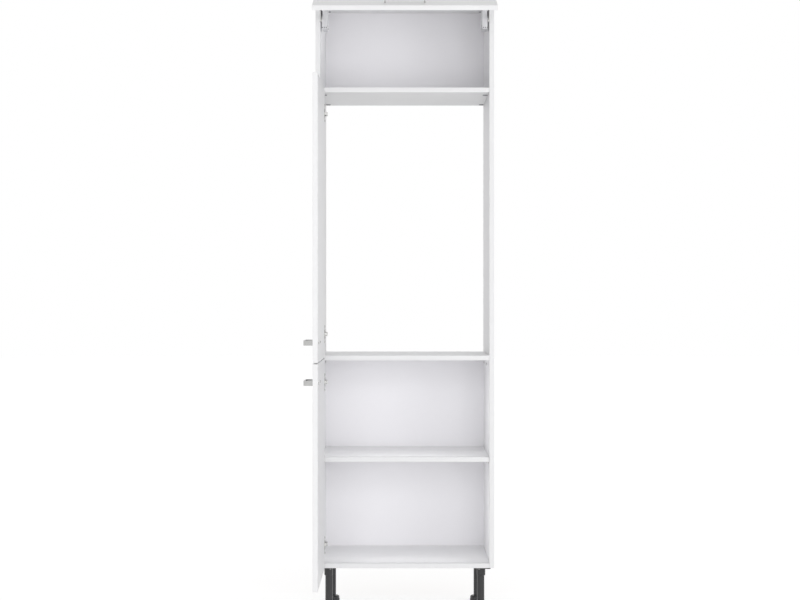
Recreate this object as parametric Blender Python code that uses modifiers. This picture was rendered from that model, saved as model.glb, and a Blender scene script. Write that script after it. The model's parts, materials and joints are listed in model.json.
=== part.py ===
"""Tall kitchen housing unit for a built-in fridge.

Two board sides carry a bottom, an adjustable shelf, a niche floor, a niche top and a top board.
Two doors and a lift-up flap hang on concealed cup hinges. The unit stands on four plinth feet.
The model shows both doors open at a right angle and the flap held up by its lifts.
"""

import cmath
import math

import bmesh
import bpy
from mathutils import Matrix, Vector

# Boards and the space that they enclose
OUTER_WIDTH = 0.600
SIDE_DEPTH = 0.560
REAR_SPACE = 0.044
BOARD = 0.016
LOWER_COMPARTMENT_HEIGHT = 0.682
NICHE_HEIGHT = 0.884
TOP_COMPARTMENT_HEIGHT = 0.316
SHELF_OVER_BOTTOM = 0.3405
SHELF_SETBACK = 0.004
BACK_THICKNESS = 0.003
BACK_EDGE_SHORT = 0.002
GROOVE_DEPTH = 0.008
EDGE_ROUND = 0.0006

# Gaps between pieces
FIT = 0.0003
REVEAL = 0.002
FACE_GAP = 0.002
LEAF_GAP = 0.003
OVERRUN = 0.004

# Doors and flap: the boards that open
LEAF_BOARD = 0.016
OPEN_FACE_INSET = 0.0154
OPEN_EDGE_FRONT = 0.005
DOOR_OPEN_ANGLE = math.radians(90.0)
FLAP_OPEN_ANGLE = math.radians(74.5)

# Concealed cup hinge
HINGE_END_DISTANCE = 0.079
CUP_PIVOT_INSET = 0.013
CUP_PIVOT_DEPTH = 0.005
ARM_PIVOT_BEHIND = 0.006
CUP_INSET = 0.0225
CUP_RADIUS = 0.0175
CUP_WALL = 0.0012
CUP_DEPTH = 0.0125
CUP_RIM = 0.0015
CUP_FLANGE = 0.001
CUP_SCREW_SPACING = 0.052
CUP_SCREW_OFFSET = 0.0055
CUP_WING_WIDTH = 0.015
CUP_WING_END = 0.004
LINK_HALF_WIDTH = 0.005
LINK_HALF_THICKNESS = 0.0011
LINK_CRANK_INSET = 0.0086
LINK_CRANK_PROUD = 0.0037
LINK_EYE_RADIUS = 0.0024
HINGE_PIN_RADIUS = 0.001
ARM_WALL = 0.0015
ARM_REAR_BEHIND = 0.062
ARM_REAR_HEIGHT = 0.0115
ARM_WEB_START = 0.012
ARM_EAR_RADIUS = 0.0032
ARM_FOOT_HEIGHT = 0.0035
PLATE_THICKNESS = 0.002
PLATE_FRONT = 0.022
PLATE_LENGTH = 0.038
PLATE_BLOCK_HEIGHT = 0.0077
PLATE_WING_SPACING = 0.032
PLATE_WING_WIDTH = 0.014
PLATE_WING_END = 0.007
PLATE_SCREW_BEHIND = 0.037

# Screw holes in the hinge metal and in the feet
SCREW_HOLE_RADIUS = 0.0021

# Bow handles
HANDLE_SPACING = 0.128
HANDLE_PROJECTION = 0.031
HANDLE_THICKNESS = 0.005
HANDLE_WIDTH = 0.016
HANDLE_CORNER = 0.013
HANDLE_FROM_LEAF_END = 0.061
HANDLE_FROM_FREE_EDGE = 0.045
HANDLE_BORE_RADIUS = 0.0021
HANDLE_BORE_DEPTH = 0.009

# Flap lifts
LIFT_PIVOT_BELOW = 0.076
LIFT_PIVOT_BEHIND = 0.033
LIFT_CASE_THICKNESS = 0.024
LIFT_CASE_FRONT = 0.004
LIFT_CASE_DEPTH = 0.092
LIFT_CASE_BOTTOM = 0.134
LIFT_CASE_TOP_GAP = 0.002
LIFT_CASE_ROUND = 0.003
LIFT_PLATE_THICKNESS = 0.0012
LIFT_SLOT_WIDTH = 0.0072
LIFT_ARM_THICKNESS = 0.002
LIFT_ARM_HALF_WIDTH = 0.006
LIFT_LINK_HALF_WIDTH = 0.005
LIFT_LAYER_GAP = 0.0005
LIFT_LINK_TURN_SHARE = -0.2
LIFT_PIN_RADIUS = 0.0025
LIFT_PIN_CLEARANCE = 0.0009
LIFT_SPACER_BEHIND = 0.056
LIFT_SPACER_BELOW = 0.040
FLAP_STUD_INSET = 0.100
FLAP_STUD_PROUD = 0.012
FLAP_BRACKET_THICKNESS = 0.0022
FLAP_BRACKET_LENGTH = 0.036
FLAP_BRACKET_BASE = 0.018

# Plinth feet
FOOT_HEIGHT = 0.172
FOOT_FROM_SIDE = 0.0433
FRONT_FOOT_BEHIND = 0.060
REAR_FOOT_FROM_REAR = 0.096
FOOT_PLATE_WIDTH = 0.062
FOOT_PLATE_OUTWARD = 0.033
FOOT_PLATE_THICKNESS = 0.006
FOOT_PLATE_CORNER = 0.006
FOOT_COLLAR_RADIUS = 0.0145
FOOT_COLLAR_OUTWARD = 0.0014
FOOT_COLLAR_HEIGHT = 0.034
FOOT_COLLAR_TAPER = 0.005
FOOT_TUBE_RADIUS = 0.0125
FOOT_TUBE_WALL = 0.0024
FOOT_BASE_RADIUS = 0.0245
FOOT_BASE_HEIGHT = 0.024
FOOT_BASE_FLOOR = 0.003
FOOT_BASE_CHAMFER = 0.003
FOOT_TUBE_ENGAGED = 0.014
FOOT_STEM_HEIGHT = 0.060
FOOT_SCREW_FROM_EDGE = 0.007

# Pins under the adjustable shelf
SHELF_PIN_RADIUS = 0.0025
SHELF_PIN_IN_SIDE = 0.009
SHELF_PIN_OUT = 0.009
SHELF_PIN_COLLAR_RADIUS = 0.0045
SHELF_PIN_COLLAR = 0.0015
SHELF_PIN_FRONT = 0.045
SHELF_PIN_FROM_REAR = 0.060

# Number of flat sides on round pieces
HOLE_SIDES = 8
SMALL_SIDES = 12
ROUND_SIDES = 24

# Levels and places worked out from the sizes above
SHELF_DEPTH = SIDE_DEPTH - REAR_SPACE
MIDDLE_SHELF_LEVEL = BOARD + SHELF_OVER_BOTTOM
NICHE_FLOOR_LEVEL = BOARD + LOWER_COMPARTMENT_HEIGHT
NICHE_TOP_LEVEL = NICHE_FLOOR_LEVEL + BOARD + NICHE_HEIGHT
TOP_BOARD_LEVEL = NICHE_TOP_LEVEL + BOARD + TOP_COMPARTMENT_HEIGHT
CARCASS_HEIGHT = TOP_BOARD_LEVEL + BOARD
REAR_FOOT_BEHIND = SHELF_DEPTH - REAR_FOOT_FROM_REAR
LOWER_SPLIT = NICHE_FLOOR_LEVEL + BOARD / 2
UPPER_SPLIT = NICHE_TOP_LEVEL + BOARD / 2
LEAF_WIDTH = OUTER_WIDTH - 2 * REVEAL
LOWER_DOOR_LOW = REVEAL
LOWER_DOOR_HIGH = LOWER_SPLIT - LEAF_GAP / 2
UPPER_DOOR_LOW = LOWER_SPLIT + LEAF_GAP / 2
UPPER_DOOR_HIGH = UPPER_SPLIT - LEAF_GAP / 2
FLAP_LENGTH = CARCASS_HEIGHT - REVEAL - UPPER_SPLIT - LEAF_GAP / 2
CUP_RIM_RADIUS = CUP_RADIUS + CUP_RIM
FAR_LEFT = OPEN_FACE_INSET - HANDLE_PROJECTION
FAR_FRONT = -OPEN_EDGE_FRONT - LEAF_WIDTH
CENTRE_X = (OUTER_WIDTH + FAR_LEFT) / 2
CENTRE_Y = (SIDE_DEPTH + FAR_FRONT) / 2

# Plane of a hinge as complex numbers: the real part runs from the carcass's outer face inward,
# and the imaginary part runs from the carcass's front backward. A leaf opens by a negative turn.
CUP_PIVOT_CLOSED = complex(REVEAL + CUP_PIVOT_INSET, -FACE_GAP - CUP_PIVOT_DEPTH)
CUP_PIVOT_SQUARE = complex(OPEN_FACE_INSET + LEAF_BOARD - CUP_PIVOT_DEPTH, -OPEN_EDGE_FRONT - CUP_PIVOT_INSET)


def arm_pivot():
    """The fixed end of the link: equally far from both places of the cup's pivot."""
    chord = CUP_PIVOT_SQUARE - CUP_PIVOT_CLOSED
    middle = (CUP_PIVOT_SQUARE + CUP_PIVOT_CLOSED) / 2
    normal = chord * 1j
    return middle + normal * (ARM_PIVOT_BEHIND - middle.imag) / normal.imag


ARM_PIVOT = arm_pivot()
LINK_TURN = cmath.phase((CUP_PIVOT_SQUARE - ARM_PIVOT) / (CUP_PIVOT_CLOSED - ARM_PIVOT))
LINK_TURN_SHARE = LINK_TURN / DOOR_OPEN_ANGLE


def cup_pivot(open_angle):
    """Where the cup's pivot is when the leaf stands open by this angle."""
    return ARM_PIVOT + (CUP_PIVOT_CLOSED - ARM_PIVOT) * cmath.rect(1, LINK_TURN_SHARE * open_angle)


def leaf_point(inset, proud, open_angle):
    """A point of a leaf, by its distance from the hinge edge and how far it stands off the inner face."""
    closed = complex(REVEAL + inset, -FACE_GAP + proud)
    return cup_pivot(open_angle) + (closed - CUP_PIVOT_CLOSED) * cmath.rect(1, -open_angle)


# The lift's arm turns with the flap, and its link turns slowly the other way. Both lengths follow
# from the flap's closed and open places.
LIFT_PIVOT = complex(LIFT_PIVOT_BELOW, LIFT_PIVOT_BEHIND)
STUD_CLOSED = leaf_point(FLAP_STUD_INSET, FLAP_STUD_PROUD, 0)
STUD_OPEN = leaf_point(FLAP_STUD_INSET, FLAP_STUD_PROUD, FLAP_OPEN_ANGLE)
ARM_TURN = cmath.rect(1, -FLAP_OPEN_ANGLE)
LIFT_LINK_TURN = cmath.rect(1, -FLAP_OPEN_ANGLE * LIFT_LINK_TURN_SHARE)
LIFT_ARM_CLOSED = ((STUD_OPEN - LIFT_PIVOT - LIFT_LINK_TURN * (STUD_CLOSED - LIFT_PIVOT))
                   / (ARM_TURN - LIFT_LINK_TURN))
LIFT_ARM_OPEN = LIFT_ARM_CLOSED * ARM_TURN
LIFT_ELBOW = LIFT_PIVOT + LIFT_ARM_OPEN
LIFT_LINK_OPEN = STUD_OPEN - LIFT_ELBOW


def clear_scene():
    """Start from an empty scene with one collection for the unit and one for its cutters."""
    for obj in list(bpy.data.objects):
        bpy.data.objects.remove(obj, do_unlink=True)
    for name in ("fridge_housing_unit", "cutters"):
        old = bpy.data.collections.get(name)
        if old:
            bpy.data.collections.remove(old)
        bpy.context.scene.collection.children.link(bpy.data.collections.new(name))


clear_scene()
UNIT = bpy.data.collections["fridge_housing_unit"]
CUTTERS = bpy.data.collections["cutters"]


def make_material(name, colour, roughness, metallic=0.0):
    """A plain Principled material in the finish of one kind of piece."""
    material = bpy.data.materials.get(name) or bpy.data.materials.new(name)
    material.use_nodes = True
    shader = material.node_tree.nodes["Principled BSDF"]
    shader.inputs["Base Color"].default_value = (*colour, 1.0)
    shader.inputs["Roughness"].default_value = roughness
    shader.inputs["Metallic"].default_value = metallic
    return material


WHITE_MELAMINE = make_material("white_melamine", (0.87, 0.87, 0.88), 0.45)
WHITE_FRONT = make_material("white_front", (0.89, 0.89, 0.90), 0.35)
WHITE_HARDBOARD = make_material("white_hardboard", (0.82, 0.82, 0.84), 0.5)
NICKEL_STEEL = make_material("nickel_plated_steel", (0.62, 0.61, 0.59), 0.32, 1.0)
SATIN_HANDLE = make_material("satin_nickel_handle", (0.66, 0.65, 0.63), 0.28, 1.0)
BLACK_PLASTIC = make_material("black_plastic", (0.025, 0.025, 0.027), 0.38)
LIGHT_PLASTIC = make_material("light_grey_plastic", (0.60, 0.60, 0.61), 0.45)


def add_object(name, mesh, parent=None, material=None, collection=None):
    """Put a mesh in the scene as one named object."""
    obj = bpy.data.objects.new(name, mesh)
    (collection or UNIT).objects.link(obj)
    obj.parent = parent
    if material:
        obj.data.materials.clear()
        obj.data.materials.append(material)
    return obj


def add_empty(name, matrix, parent=None):
    """A named pivot or frame that pieces are parented to."""
    empty = bpy.data.objects.new(name, None)
    empty.empty_display_size = BOARD
    UNIT.objects.link(empty)
    empty.parent = parent
    empty.matrix_local = matrix
    return empty


def box_mesh(low, high):
    """A box between two corners."""
    size = Vector(high) - Vector(low)
    centre = (Vector(high) + Vector(low)) / 2
    place = Matrix.Translation(centre) @ Matrix.Diagonal((*size, 1))
    shape = bmesh.new()
    bmesh.ops.create_cube(shape, size=1, matrix=place)
    return finished_mesh(shape, "box")


def finished_mesh(shape, name):
    """Turn a bmesh into a mesh and free it."""
    mesh = bpy.data.meshes.new(name)
    shape.to_mesh(mesh)
    shape.free()
    return mesh


def rod_mesh(start, end, radius, sides=SMALL_SIDES):
    """A cylinder between two points."""
    start, end = Vector(start), Vector(end)
    axis = end - start
    place = Matrix.Translation((start + end) / 2) @ axis.to_track_quat("Z", "Y").to_matrix().to_4x4()
    shape = bmesh.new()
    bmesh.ops.create_cone(shape, cap_ends=True, segments=sides, radius1=radius, radius2=radius,
                          depth=axis.length, matrix=place)
    return finished_mesh(shape, "rod")


def gathered_mesh(meshes):
    """Several separate shapes kept side by side in one mesh."""
    shape = bmesh.new()
    for mesh in meshes:
        shape.from_mesh(mesh)
    return finished_mesh(shape, "group")


def placed_mesh(mesh, matrix):
    """A copy of a mesh moved by a matrix, turned right side out when the matrix mirrors it."""
    copy = mesh.copy()
    copy.transform(matrix)
    if matrix.determinant() < 0:
        copy.flip_normals()
    return copy


def solid_mesh(start, joined=(), cut=()):
    """Join shapes to a first one and cut others away, with exact Boolean modifiers."""
    work = add_object("work", start, collection=CUTTERS)
    helpers = []
    for operation, meshes in (("UNION", joined), ("DIFFERENCE", cut)):
        for mesh in meshes:
            helper = add_object("helper", mesh, collection=CUTTERS)
            helpers.append(helper)
            change = work.modifiers.new(operation.lower(), "BOOLEAN")
            change.operation = operation
            change.solver = "EXACT"
            change.object = helper
    bpy.context.view_layer.update()
    evaluated = work.evaluated_get(bpy.context.evaluated_depsgraph_get())
    result = bpy.data.meshes.new_from_object(evaluated)
    for obj in [work, *helpers]:
        bpy.data.objects.remove(obj, do_unlink=True)
    return result


def outline_mesh(outline, holes, half_depth):
    """A flat outline with holes, made thick along Z. Points are complex numbers."""
    curve = bpy.data.curves.new("outline", "CURVE")
    curve.dimensions = "2D"
    curve.fill_mode = "BOTH"
    curve.extrude = half_depth
    for points in [outline, *holes]:
        spline = curve.splines.new("POLY")
        spline.points.add(len(points) - 1)
        for spot, point in zip(spline.points, points):
            spot.co = (point.real, point.imag, 0, 1)
        spline.use_cyclic_u = True
    carrier = bpy.data.objects.new("outline", curve)
    CUTTERS.objects.link(carrier)
    bpy.context.view_layer.update()
    mesh = bpy.data.meshes.new_from_object(carrier.evaluated_get(bpy.context.evaluated_depsgraph_get()))
    bpy.data.objects.remove(carrier, do_unlink=True)
    shape = bmesh.new()
    shape.from_mesh(mesh)
    bmesh.ops.remove_doubles(shape, verts=shape.verts, dist=FIT / 100)
    bmesh.ops.recalc_face_normals(shape, faces=shape.faces)
    return finished_mesh(shape, "plate")


def ring_points(centre, radius, sides=SMALL_SIDES):
    """Points of a circle in the plane of an outline."""
    return [centre + cmath.rect(radius, math.tau * step / sides) for step in range(sides)]


def strap_outline(points, half_width, cap_steps=6):
    """The outline of a flat bar that follows a line of points, with round ends."""
    left, right = [], []
    for index, point in enumerate(points):
        before = points[max(index - 1, 0)]
        after = points[min(index + 1, len(points) - 1)]
        into = (point - before) / abs(point - before) if index else None
        out = (after - point) / abs(after - point) if index < len(points) - 1 else None
        heading = out if into is None else into if out is None else (into + out) / abs(into + out)
        spread = half_width / (1 if into is None or out is None else (heading / into).real)
        left.append(point + heading * 1j * spread)
        right.append(point - heading * 1j * spread)
    first = points[0] - points[1]
    last = points[-1] - points[-2]
    start_cap = half_circle(points[0], first, half_width, cap_steps)
    end_cap = half_circle(points[-1], last, half_width, cap_steps)
    return left[1:-1] + end_cap[::-1] + right[1:-1][::-1] + start_cap[::-1]


def half_circle(centre, facing, radius, steps):
    """Half a circle round a bar's end, from its right side to its left."""
    facing = facing / abs(facing)
    turns = [math.pi * (step / steps - 1 / 2) for step in range(steps + 1)]
    return [centre + facing * cmath.rect(radius, turn) for turn in turns]


def eyed_bar_mesh(points, half_width, half_depth, holes):
    """A flat bar along a line of points with a round hole at each place in holes."""
    rings = [ring_points(centre, radius) for centre, radius in holes]
    return outline_mesh(strap_outline(points, half_width), rings, half_depth)


def smooth(obj):
    """Shade round pieces smooth and keep their real edges crisp."""
    obj.data.shade_smooth()
    obj.data.set_sharp_from_angle(angle=math.radians(35))


def cut_object(obj, name, meshes):
    """Cut several shapes out of an object with one named cutter."""
    cutter = add_object(name, gathered_mesh(meshes), parent=obj.parent, collection=CUTTERS)
    cutter.hide_render = True
    cutter.display_type = "WIRE"
    change = obj.modifiers.new(name, "BOOLEAN")
    change.operation = "DIFFERENCE"
    change.solver = "EXACT"
    change.object = cutter


def add_board(name, low, high, parent, material):
    """A board with its long edges eased."""
    board = add_object(name, box_mesh(low, high), parent, material)
    easing = board.modifiers.new("eased_edges", "BEVEL")
    easing.width = EDGE_ROUND
    easing.segments = 1
    easing.limit_method = "ANGLE"
    return board


# The carcass stands in a frame whose origin is its lower left front corner.
CARCASS = add_empty("carcass_frame", Matrix.Translation((-CENTRE_X, -CENTRE_Y, FOOT_HEIGHT)))
SIDE_WALLS = ((0, 1), (OUTER_WIDTH, -1))
PIN_ROWS = (SHELF_PIN_FRONT, SHELF_DEPTH - SHELF_PIN_FROM_REAR)
PIN_LEVEL = MIDDLE_SHELF_LEVEL - FIT - SHELF_PIN_RADIUS
BACK_FACE = SHELF_DEPTH + FIT


def across(face, inward, distance):
    """A place across the width, by its distance inward from a side's outer face."""
    return face + inward * distance


def pin_spots():
    """The places of the shelf pins: side face, direction inward and row."""
    for face, inward in SIDE_WALLS:
        for row in PIN_ROWS:
            yield face, inward, row


def hole_between(start, end, radius):
    """A cutter for a rod's hole, a fit wider than the rod and a fit longer at both ends."""
    start, end = Vector(start), Vector(end)
    along = (end - start).normalized() * FIT
    return rod_mesh(start - along, end + along, radius + FIT)


def add_side_board(name, face, inward):
    """A side board: grooved for the backs and bored for dowels, screws and shelf pins."""
    inner = across(face, inward, BOARD)
    board = add_board(name, (min(face, inner), 0, 0), (max(face, inner), SIDE_DEPTH, CARCASS_HEIGHT),
                      CARCASS, WHITE_MELAMINE)
    groove_floor = across(face, inward, BOARD - GROOVE_DEPTH)
    groove_mouth = across(face, inward, BOARD + OVERRUN)
    groove_rear = BACK_FACE + BACK_THICKNESS + FIT
    groove = box_mesh((min(groove_floor, groove_mouth), BACK_FACE - FIT, -OVERRUN),
                      (max(groove_floor, groove_mouth), groove_rear, CARCASS_HEIGHT + OVERRUN))
    bores = []
    for pin_face, pin_inward, row in pin_spots():
        start = (across(pin_face, pin_inward, BOARD - SHELF_PIN_IN_SIDE), row, PIN_LEVEL)
        end = (across(pin_face, pin_inward, BOARD + OVERRUN), row, PIN_LEVEL)
        bores.append(hole_between(start, end, SHELF_PIN_RADIUS))
    cut_object(board, name + "_groove", [groove])
    cut_object(board, name + "_bores", bores)
    return board


def add_fixed_board(name, level):
    """A board between the sides."""
    low = (BOARD + FIT, 0, level)
    high = (OUTER_WIDTH - BOARD - FIT, SHELF_DEPTH, level + BOARD)
    add_board(name, low, high, CARCASS, WHITE_MELAMINE)


def add_shelf():
    """The adjustable shelf, which lies loose on four pins."""
    low = (BOARD + REVEAL / 2, SHELF_SETBACK, MIDDLE_SHELF_LEVEL)
    high = (OUTER_WIDTH - BOARD - REVEAL / 2, SHELF_DEPTH - FIT, MIDDLE_SHELF_LEVEL + BOARD)
    add_board("adjustable_shelf", low, high, CARCASS, WHITE_MELAMINE)


def add_back(name, low_level, high_level):
    """A thin back that slides in the grooves of the sides behind the boards' rear edges."""
    inset = BOARD - GROOVE_DEPTH + FIT
    low = (inset, BACK_FACE, low_level + BACK_EDGE_SHORT)
    high = (OUTER_WIDTH - inset, BACK_FACE + BACK_THICKNESS, high_level - BACK_EDGE_SHORT)
    add_object(name, box_mesh(low, high), CARCASS, WHITE_HARDBOARD)


def add_shelf_pins():
    """Pins with a collar against the side that hold the adjustable shelf."""
    for side_name, (face, inward) in zip(("left", "right"), SIDE_WALLS):
        inner = across(face, inward, BOARD)
        for row_name, row in zip(("front", "rear"), PIN_ROWS):
            start = (inner - inward * (SHELF_PIN_IN_SIDE - FIT), row, PIN_LEVEL)
            end = (inner + inward * SHELF_PIN_OUT, row, PIN_LEVEL)
            drop = PIN_LEVEL - SHELF_PIN_COLLAR_RADIUS + SHELF_PIN_RADIUS - FIT
            collar_start = (inner + inward * FIT, row, drop)
            collar_end = (inner + inward * (FIT + SHELF_PIN_COLLAR), row, drop)
            collar = rod_mesh(collar_start, collar_end, SHELF_PIN_COLLAR_RADIUS)
            pin = solid_mesh(rod_mesh(start, end, SHELF_PIN_RADIUS), joined=[collar])
            smooth(add_object(row_name + "_" + side_name + "_shelf_pin", pin, CARCASS, NICKEL_STEEL))


# A hinge's plane in the carcass: the left side's for the doors and the top board's for the flap.
# In each, X runs from the outer face inward, Y backward and Z along the hinge line.
SIDE_PLANE = Matrix.Identity(4)
TOP_PLANE = Matrix(((0, 0, 1, 0), (0, 1, 0, 0), (-1, 0, 0, CARCASS_HEIGHT), (0, 0, 0, 1)))


HINGE_ENDS = {"lower_door": ("low", "high"), "upper_door": ("low", "high"), "flap": ("left", "right")}


def in_plane(place, along=0.0):
    """The vector of a complex place in a hinge's plane."""
    return Vector((place.real, place.imag, along))


def hole_mesh(centre, along, reach):
    """A cutter for a screw hole square to the leaf or the wall: a short rod along reach."""
    middle = in_plane(centre, along)
    return rod_mesh(middle - reach, middle + reach, SCREW_HOLE_RADIUS, sides=HOLE_SIDES)


def plate_mesh(along):
    """A mounting plate: a low block for the arm and two wings with a screw hole each."""
    base = BOARD + FIT
    block = box_mesh((base, PLATE_FRONT, along - LINK_HALF_WIDTH),
                     (base + PLATE_BLOCK_HEIGHT, PLATE_FRONT + PLATE_LENGTH, along + LINK_HALF_WIDTH))
    half_span = PLATE_WING_SPACING / 2 + PLATE_WING_END
    wings = box_mesh((base, PLATE_SCREW_BEHIND - PLATE_WING_WIDTH / 2, along - half_span),
                     (base + PLATE_THICKNESS, PLATE_SCREW_BEHIND + PLATE_WING_WIDTH / 2, along + half_span))
    spot = complex(base, PLATE_SCREW_BEHIND)
    reach = Vector((OVERRUN, 0, 0))
    holes = [hole_mesh(spot, along + side * PLATE_WING_SPACING / 2, reach) for side in (-1, 1)]
    return solid_mesh(block, joined=[wings], cut=holes)


def arm_mesh(along):
    """A hinge arm: two cheeks over the plate that rise to the link's pin, and the web between them."""
    ear_top = ARM_PIVOT + complex(ARM_EAR_RADIUS, 0)
    rear_top = complex(BOARD + ARM_REAR_HEIGHT, ARM_REAR_BEHIND)
    rear_low = complex(BOARD + ARM_FOOT_HEIGHT, ARM_REAR_BEHIND)
    front_low = complex(BOARD + ARM_FOOT_HEIGHT, PLATE_FRONT)
    ear = half_circle(ARM_PIVOT, -1j, ARM_EAR_RADIUS, SMALL_SIDES // 2)
    cheek_outline = ear + [rear_top, rear_low, front_low]
    inner_face = LINK_HALF_WIDTH + FIT + ARM_WALL / 2
    cheeks = []
    for side in (-1, 1):
        cheek = outline_mesh(cheek_outline, [], ARM_WALL / 2)
        cheeks.append(placed_mesh(cheek, Matrix.Translation((0, 0, along + side * inner_face))))
    slope = rear_top - ear_top
    web_start = ear_top + slope * (ARM_WEB_START / abs(slope))
    web_line = slope / abs(slope)
    under = web_line * 1j * ARM_WALL
    web_outline = [web_start, rear_top, rear_top + under, web_start + under]
    web = outline_mesh(web_outline, [], inner_face + ARM_WALL / 2)
    web = placed_mesh(web, Matrix.Translation((0, 0, along)))
    pin_start, pin_end = in_plane(ARM_PIVOT, along - inner_face), in_plane(ARM_PIVOT, along + inner_face)
    pin = rod_mesh(pin_start, pin_end, HINGE_PIN_RADIUS, sides=HOLE_SIDES)
    return solid_mesh(web, joined=[*cheeks, pin])


def link_mesh(along):
    """A cranked link from the arm's pin over the leaf's edge into the cup, at a square opening."""
    face = OPEN_FACE_INSET + LEAF_BOARD
    crank = complex(face + LINK_CRANK_PROUD, -OPEN_EDGE_FRONT - LINK_CRANK_INSET)
    points = [CUP_PIVOT_SQUARE, crank, ARM_PIVOT]
    strap = outline_mesh(strap_outline(points, LINK_HALF_THICKNESS), [], LINK_HALF_WIDTH)
    eyes = []
    holes = []
    for centre in (CUP_PIVOT_SQUARE, ARM_PIVOT):
        low, high = in_plane(centre, -LINK_HALF_WIDTH), in_plane(centre, LINK_HALF_WIDTH)
        over = Vector((0, 0, OVERRUN))
        eyes.append(rod_mesh(low, high, LINK_EYE_RADIUS))
        holes.append(rod_mesh(low - over, high + over, HINGE_PIN_RADIUS + FIT, sides=HOLE_SIDES))
    link = solid_mesh(strap, joined=eyes, cut=holes)
    return placed_mesh(link, Matrix.Translation(in_plane(-ARM_PIVOT, along)))


def cup_place(depth_proud):
    """Centre of the cup on the closed leaf, from the cup's pivot, at a height off the inner face."""
    return complex(REVEAL + CUP_INSET, -FACE_GAP + depth_proud) - CUP_PIVOT_CLOSED


def cup_mesh(along):
    """A hinge cup: a round pot with a rim, two wings for its screws and the pin of the link."""
    rim_low, rim_high = cup_place(FIT), cup_place(FIT + CUP_FLANGE)
    floor = cup_place(-CUP_DEPTH)
    pot = rod_mesh(in_plane(floor, along), in_plane(rim_high, along), CUP_RADIUS, sides=ROUND_SIDES)
    rim = rod_mesh(in_plane(rim_low, along), in_plane(rim_high, along), CUP_RIM_RADIUS, sides=ROUND_SIDES)
    half_span = CUP_SCREW_SPACING / 2 + CUP_WING_END
    wing_centre = rim_low + CUP_SCREW_OFFSET
    wings = box_mesh(in_plane(wing_centre - CUP_WING_WIDTH / 2, along - half_span),
                     in_plane(wing_centre + CUP_WING_WIDTH / 2 + 1j * CUP_FLANGE, along + half_span))
    bowl = rod_mesh(in_plane(floor + 1j * CUP_WALL, along), in_plane(rim_high + 1j * OVERRUN, along),
                    CUP_RADIUS - CUP_WALL, sides=ROUND_SIDES)
    reach = Vector((0, OVERRUN, 0))
    holes = [hole_mesh(wing_centre, along + side * CUP_SCREW_SPACING / 2, reach) for side in (-1, 1)]
    shell = solid_mesh(pot, joined=[rim, wings], cut=[bowl, *holes])
    offset = CUP_INSET - CUP_PIVOT_INSET
    pin_half = math.sqrt((CUP_RADIUS - CUP_WALL / 2) ** 2 - offset ** 2)
    pin = rod_mesh((0, 0, along - pin_half), (0, 0, along + pin_half), HINGE_PIN_RADIUS, sides=HOLE_SIDES)
    return solid_mesh(shell, joined=[pin])


def leaf_corner(inset, proud, along):
    """A corner of the closed leaf, from the cup's pivot."""
    return in_plane(complex(REVEAL + inset, -FACE_GAP + proud) - CUP_PIVOT_CLOSED, along)


def handle_mesh():
    """A flat bow handle: its feet at Z = 0 a fixed spacing apart, and its bow standing up along Z."""
    half = HANDLE_SPACING / 2
    rise = HANDLE_PROJECTION - FIT - HANDLE_THICKNESS / 2
    line = [complex(-half, 0)]
    steps = 6
    for side in (-1, 1):
        centre = complex(side * (half - HANDLE_CORNER), rise - HANDLE_CORNER)
        turns = range(steps + 1)
        for turn in turns:
            share = turn / steps
            angle = math.pi * (1 - share / 2) if side < 0 else math.pi * (1 - share) / 2
            line.append(centre + cmath.rect(HANDLE_CORNER, angle))
    line.append(complex(half, 0))
    body = outline_mesh(square_strap(line, HANDLE_THICKNESS / 2), [], HANDLE_WIDTH / 2)
    upright = Matrix(((1, 0, 0, 0), (0, 0, -1, 0), (0, 1, 0, 0), (0, 0, 0, 1)))
    bow = placed_mesh(body, upright)
    holes = []
    for side in (-1, 1):
        start = Vector((side * half, 0, -OVERRUN))
        end = Vector((side * half, 0, HANDLE_BORE_DEPTH))
        holes.append(rod_mesh(start, end, HANDLE_BORE_RADIUS, sides=HOLE_SIDES))
    return solid_mesh(bow, cut=holes)


def square_strap(points, half_width):
    """The outline of a flat bar along a line of points, with ends cut square."""
    left, right = [], []
    for index, point in enumerate(points):
        before = points[index - 1] if index else None
        after = points[index + 1] if index < len(points) - 1 else None
        into = (point - before) / abs(point - before) if before is not None else None
        out = (after - point) / abs(after - point) if after is not None else None
        heading = out if into is None else into if out is None else (into + out) / abs(into + out)
        spread = half_width / (1 if into is None or out is None else (heading / into).real)
        left.append(point + heading * 1j * spread)
        right.append(point - heading * 1j * spread)
    return left + right[::-1]


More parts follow.
